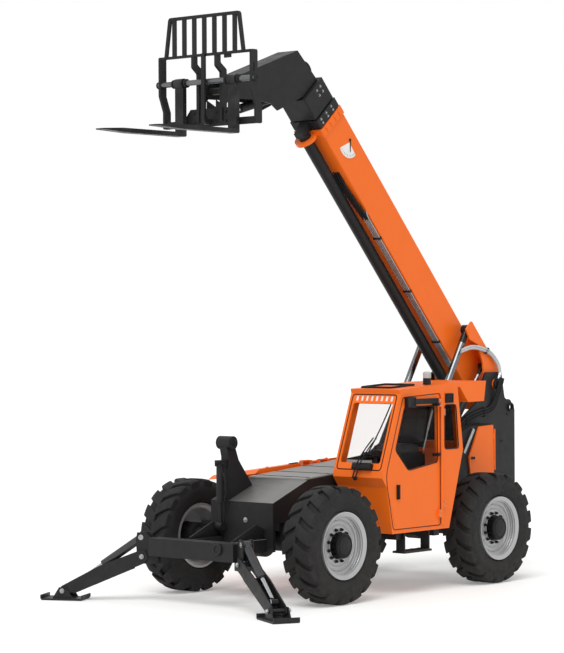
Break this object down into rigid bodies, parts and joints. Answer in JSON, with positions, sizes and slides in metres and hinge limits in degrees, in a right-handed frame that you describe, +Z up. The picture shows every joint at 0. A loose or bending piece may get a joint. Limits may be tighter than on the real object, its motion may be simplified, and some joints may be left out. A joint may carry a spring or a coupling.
{
  "type": "telehandler",
  "caption": "Rough-terrain telescopic handler with a side cab, four-section boom, fork carriage, front stabiliser legs and four-wheel steering.",
  "frame": {"origin": "on the floor, under the middle of the overall box: midway between the rear end of the frame and the fork tips, on the centreline", "axes": "+X forward, the way the forks point; +Y to the machine's left, the cab side; +Z up"},
  "size_m": [6.445, 3.7834, 6.5365],
  "materials": {
    "orange_paint": "satin",
    "charcoal_paint": "satin",
    "grey_deck": "matte",
    "rim_grey": "satin",
    "tyre_rubber": "matte",
    "rod_chrome": "polished",
    "cast_iron": "satin",
    "window_glass": "clear",
    "seat_vinyl": "matte",
    "black_plastic": "matte",
    "fork_steel": "satin"
  },
  "bodies": {
    "chassis": {"frame_left": "charcoal_paint", "frame_right": "charcoal_paint", "frame_fittings": "charcoal_paint", "front_frame": "charcoal_paint", "boom_rest": "charcoal_paint", "sway_cylinder": "charcoal_paint", "counterweight": "charcoal_paint", "deck": "grey_deck", "front_axle": "cast_iron", "rear_axle": "cast_iron", "outrigger_beam": "charcoal_paint", "cab_body": "orange_paint", "cab_roof": "orange_paint", "cab_glass": "window_glass", "seat": "seat_vinyl", "cab_controls": "black_plastic", "beacon": "black_plastic", "step": "charcoal_paint", "engine_bay": "orange_paint", "engine": "cast_iron", "tank": "charcoal_paint"},
    "door": {"cab_door": "orange_paint", "door_glass": "window_glass"},
    "hood": {"engine_hood": "orange_paint"},
    "panel": {"side_panel": "orange_paint"},
    "boom": {"boom_outer": "orange_paint", "extend_rod": "rod_chrome"},
    "boom_two": {"boom_second": "charcoal_paint", "extend_barrel": "charcoal_paint"},
    "boom_three": {"boom_third": "charcoal_paint"},
    "boom_four": {"boom_fly": "charcoal_paint"},
    "fork_carriage": {"carriage": "charcoal_paint", "fork_shaft": "rod_chrome", "forks": "fork_steel"},
    "lift_cylinders": {"lift_barrels": "charcoal_paint"},
    "lift_pistons": {"lift_rods": "rod_chrome"},
    "slave_cylinder": {"slave_barrel": "charcoal_paint"},
    "slave_piston": {"slave_rod": "rod_chrome"},
    "tilt_cylinder": {"tilt_barrel": "charcoal_paint"},
    "tilt_piston": {"tilt_rod": "rod_chrome"},
    "leg_left_arm": {"leg_left": "charcoal_paint", "foot_left": "charcoal_paint"},
    "leg_left_cylinder": {"leg_barrel_left": "charcoal_paint"},
    "leg_left_piston": {"leg_rod_left": "rod_chrome"},
    "leg_right_arm": {"leg_right": "charcoal_paint", "foot_right": "charcoal_paint"},
    "leg_right_cylinder": {"leg_barrel_right": "charcoal_paint"},
    "leg_right_piston": {"leg_rod_right": "rod_chrome"},
    "knuckle_body_front_left": {"knuckle_front_left": "cast_iron"},
    "wheel_front_left": {"rim_front_left": "rim_grey", "tyre_front_left": "tyre_rubber"},
    "knuckle_body_front_right": {"knuckle_front_right": "cast_iron"},
    "wheel_front_right": {"rim_front_right": "rim_grey", "tyre_front_right": "tyre_rubber"},
    "knuckle_body_rear_left": {"knuckle_rear_left": "cast_iron"},
    "wheel_rear_left": {"rim_rear_left": "rim_grey", "tyre_rear_left": "tyre_rubber"},
    "knuckle_body_rear_right": {"knuckle_rear_right": "cast_iron"},
    "wheel_rear_right": {"rim_rear_right": "rim_grey", "tyre_rear_right": "tyre_rubber"}
  },
  "joints": [
    {"name": "boom_lift", "type": "hinge", "parent": "chassis", "child": "boom", "pos_m": [-2.8075, 0, 2.33], "axis": [0, -1, 0], "range_deg": [-51.2, 22]},
    {"name": "boom_extend", "type": "slide", "parent": "boom", "child": "boom_two", "axis": [0.673, 0, 0.7396], "range_m": [0, 3.2]},
    {"name": "boom_three_slide", "type": "slide", "parent": "boom_two", "child": "boom_three", "axis": [0.673, 0, 0.7396], "range_m": [0, 3.2]},
    {"name": "boom_four_slide", "type": "slide", "parent": "boom_three", "child": "boom_four", "axis": [0.673, 0, 0.7396], "range_m": [0, 3.2]},
    {"name": "fork_tilt", "type": "hinge", "parent": "boom_four", "child": "fork_carriage", "pos_m": [1.75161, 0, 5.7015], "axis": [0, 1, 0], "range_deg": [-63, 35]},
    {"name": "lift_cylinder_turn", "type": "hinge", "parent": "chassis", "child": "lift_cylinders", "pos_m": [-1.2775, 0, 1.2], "axis": [0, -1, 0], "range_deg": [-60, 60]},
    {"name": "lift_rod_slide", "type": "slide", "parent": "lift_cylinders", "child": "lift_pistons", "axis": [-0.5253, 0, 0.8509], "range_m": [-1.2, 1.2]},
    {"name": "slave_cylinder_turn", "type": "hinge", "parent": "chassis", "child": "slave_cylinder", "pos_m": [-2.0475, 0, 1.77], "axis": [0, -1, 0], "range_deg": [-60, 60]},
    {"name": "slave_rod_slide", "type": "slide", "parent": "slave_cylinder", "child": "slave_piston", "axis": [-0.6462, 0, 0.7631], "range_m": [-0.5, 0.5]},
    {"name": "tilt_cylinder_turn", "type": "hinge", "parent": "boom_four", "child": "tilt_cylinder", "pos_m": [0.87356, 0, 5.67708], "axis": [0, 1, 0], "range_deg": [-60, 60]},
    {"name": "tilt_rod_slide", "type": "slide", "parent": "tilt_cylinder", "child": "tilt_piston", "axis": [0.9623, 0, -0.272], "range_m": [-0.5, 0.5]},
    {"name": "cab_door_swing", "type": "hinge", "parent": "chassis", "child": "door", "pos_m": [-0.6725, 1.24, 1.53], "axis": [0, 0, 1], "range_deg": [0, 100]},
    {"name": "hood_lift", "type": "hinge", "parent": "chassis", "child": "hood", "pos_m": [-0.3275, -0.436, 1.47], "axis": [-1, 0, 0], "range_deg": [0, 60]},
    {"name": "side_panel_swing", "type": "hinge", "parent": "chassis", "child": "panel", "pos_m": [-2.5125, 0.638, 1.54], "axis": [0, 0, 1], "range_deg": [0, 100]},
    {"name": "leg_left_swing", "type": "hinge", "parent": "chassis", "child": "leg_left_arm", "pos_m": [2.1975, 0.77, 0.506], "axis": [0.891, -0.454, 0], "range_deg": [-15, 88]},
    {"name": "leg_left_cylinder_turn", "type": "hinge", "parent": "chassis", "child": "leg_left_cylinder", "pos_m": [2.20522, 0.78515, 0.72], "axis": [0.891, -0.454, 0], "range_deg": [-120, 120]},
    {"name": "leg_left_rod_slide", "type": "slide", "parent": "leg_left_cylinder", "child": "leg_left_piston", "axis": [0.375, 0.7359, -0.5638], "range_m": [-0.6, 0.6]},
    {"name": "leg_right_swing", "type": "hinge", "parent": "chassis", "child": "leg_right_arm", "pos_m": [2.1975, -0.77, 0.506], "axis": [-0.891, -0.454, 0], "range_deg": [-15, 88]},
    {"name": "leg_right_cylinder_turn", "type": "hinge", "parent": "chassis", "child": "leg_right_cylinder", "pos_m": [2.20522, -0.78515, 0.72], "axis": [-0.891, -0.454, 0], "range_deg": [-120, 120]},
    {"name": "leg_right_rod_slide", "type": "slide", "parent": "leg_right_cylinder", "child": "leg_right_piston", "axis": [0.375, -0.7359, -0.5638], "range_m": [-0.6, 0.6]},
    {"name": "steer_front_left", "type": "hinge", "parent": "chassis", "child": "knuckle_body_front_left", "pos_m": [1.1125, 0.8, 0.655], "axis": [0, 0, 1], "range_deg": [-30, 30]},
    {"name": "spin_front_left", "type": "hinge", "parent": "knuckle_body_front_left", "child": "wheel_front_left", "pos_m": [1.1125, 1.078, 0.655], "axis": [0, 1, 0], "continuous": true},
    {"name": "steer_front_right", "type": "hinge", "parent": "chassis", "child": "knuckle_body_front_right", "pos_m": [1.1125, -0.8, 0.655], "axis": [0, 0, 1], "range_deg": [-30, 30]},
    {"name": "spin_front_right", "type": "hinge", "parent": "knuckle_body_front_right", "child": "wheel_front_right", "pos_m": [1.1125, -1.078, 0.655], "axis": [0, 1, 0], "continuous": true},
    {"name": "steer_rear_left", "type": "hinge", "parent": "chassis", "child": "knuckle_body_rear_left", "pos_m": [-1.7675, 0.8, 0.655], "axis": [0, 0, 1], "range_deg": [-30, 30]},
    {"name": "spin_rear_left", "type": "hinge", "parent": "knuckle_body_rear_left", "child": "wheel_rear_left", "pos_m": [-1.7675, 1.078, 0.655], "axis": [0, 1, 0], "continuous": true},
    {"name": "steer_rear_right", "type": "hinge", "parent": "chassis", "child": "knuckle_body_rear_right", "pos_m": [-1.7675, -0.8, 0.655], "axis": [0, 0, 1], "range_deg": [-30, 30]},
    {"name": "spin_rear_right", "type": "hinge", "parent": "knuckle_body_rear_right", "child": "wheel_rear_right", "pos_m": [-1.7675, -1.078, 0.655], "axis": [0, 1, 0], "continuous": true}
  ],
  "couplings": [
    {"joint": "boom_three_slide", "follows": "boom_extend", "ratio": 1},
    {"joint": "boom_four_slide", "follows": "boom_extend", "ratio": 1},
    {"joint": "lift_cylinder_turn", "follows": "boom_lift", "ratio": 0.0907},
    {"joint": "lift_rod_slide", "follows": "boom_lift", "m_per_rad": 0.72786},
    {"joint": "slave_cylinder_turn", "follows": "boom_lift", "ratio": 0.0476},
    {"joint": "slave_rod_slide", "follows": "boom_lift", "m_per_rad": 0.21994},
    {"joint": "tilt_cylinder_turn", "follows": "fork_tilt", "ratio": 0.0528},
    {"joint": "tilt_rod_slide", "follows": "fork_tilt", "m_per_rad": -0.23713},
    {"joint": "leg_left_cylinder_turn", "follows": "leg_left_swing", "ratio": 1.0281},
    {"joint": "leg_left_rod_slide", "follows": "leg_left_swing", "m_per_rad": -0.18785},
    {"joint": "leg_right_cylinder_turn", "follows": "leg_right_swing", "ratio": 1.0281},
    {"joint": "leg_right_rod_slide", "follows": "leg_right_swing", "m_per_rad": -0.18785},
    {"joint": "steer_front_right", "follows": "steer_front_left", "ratio": 1},
    {"joint": "steer_rear_right", "follows": "steer_rear_left", "ratio": 1}
  ]
}
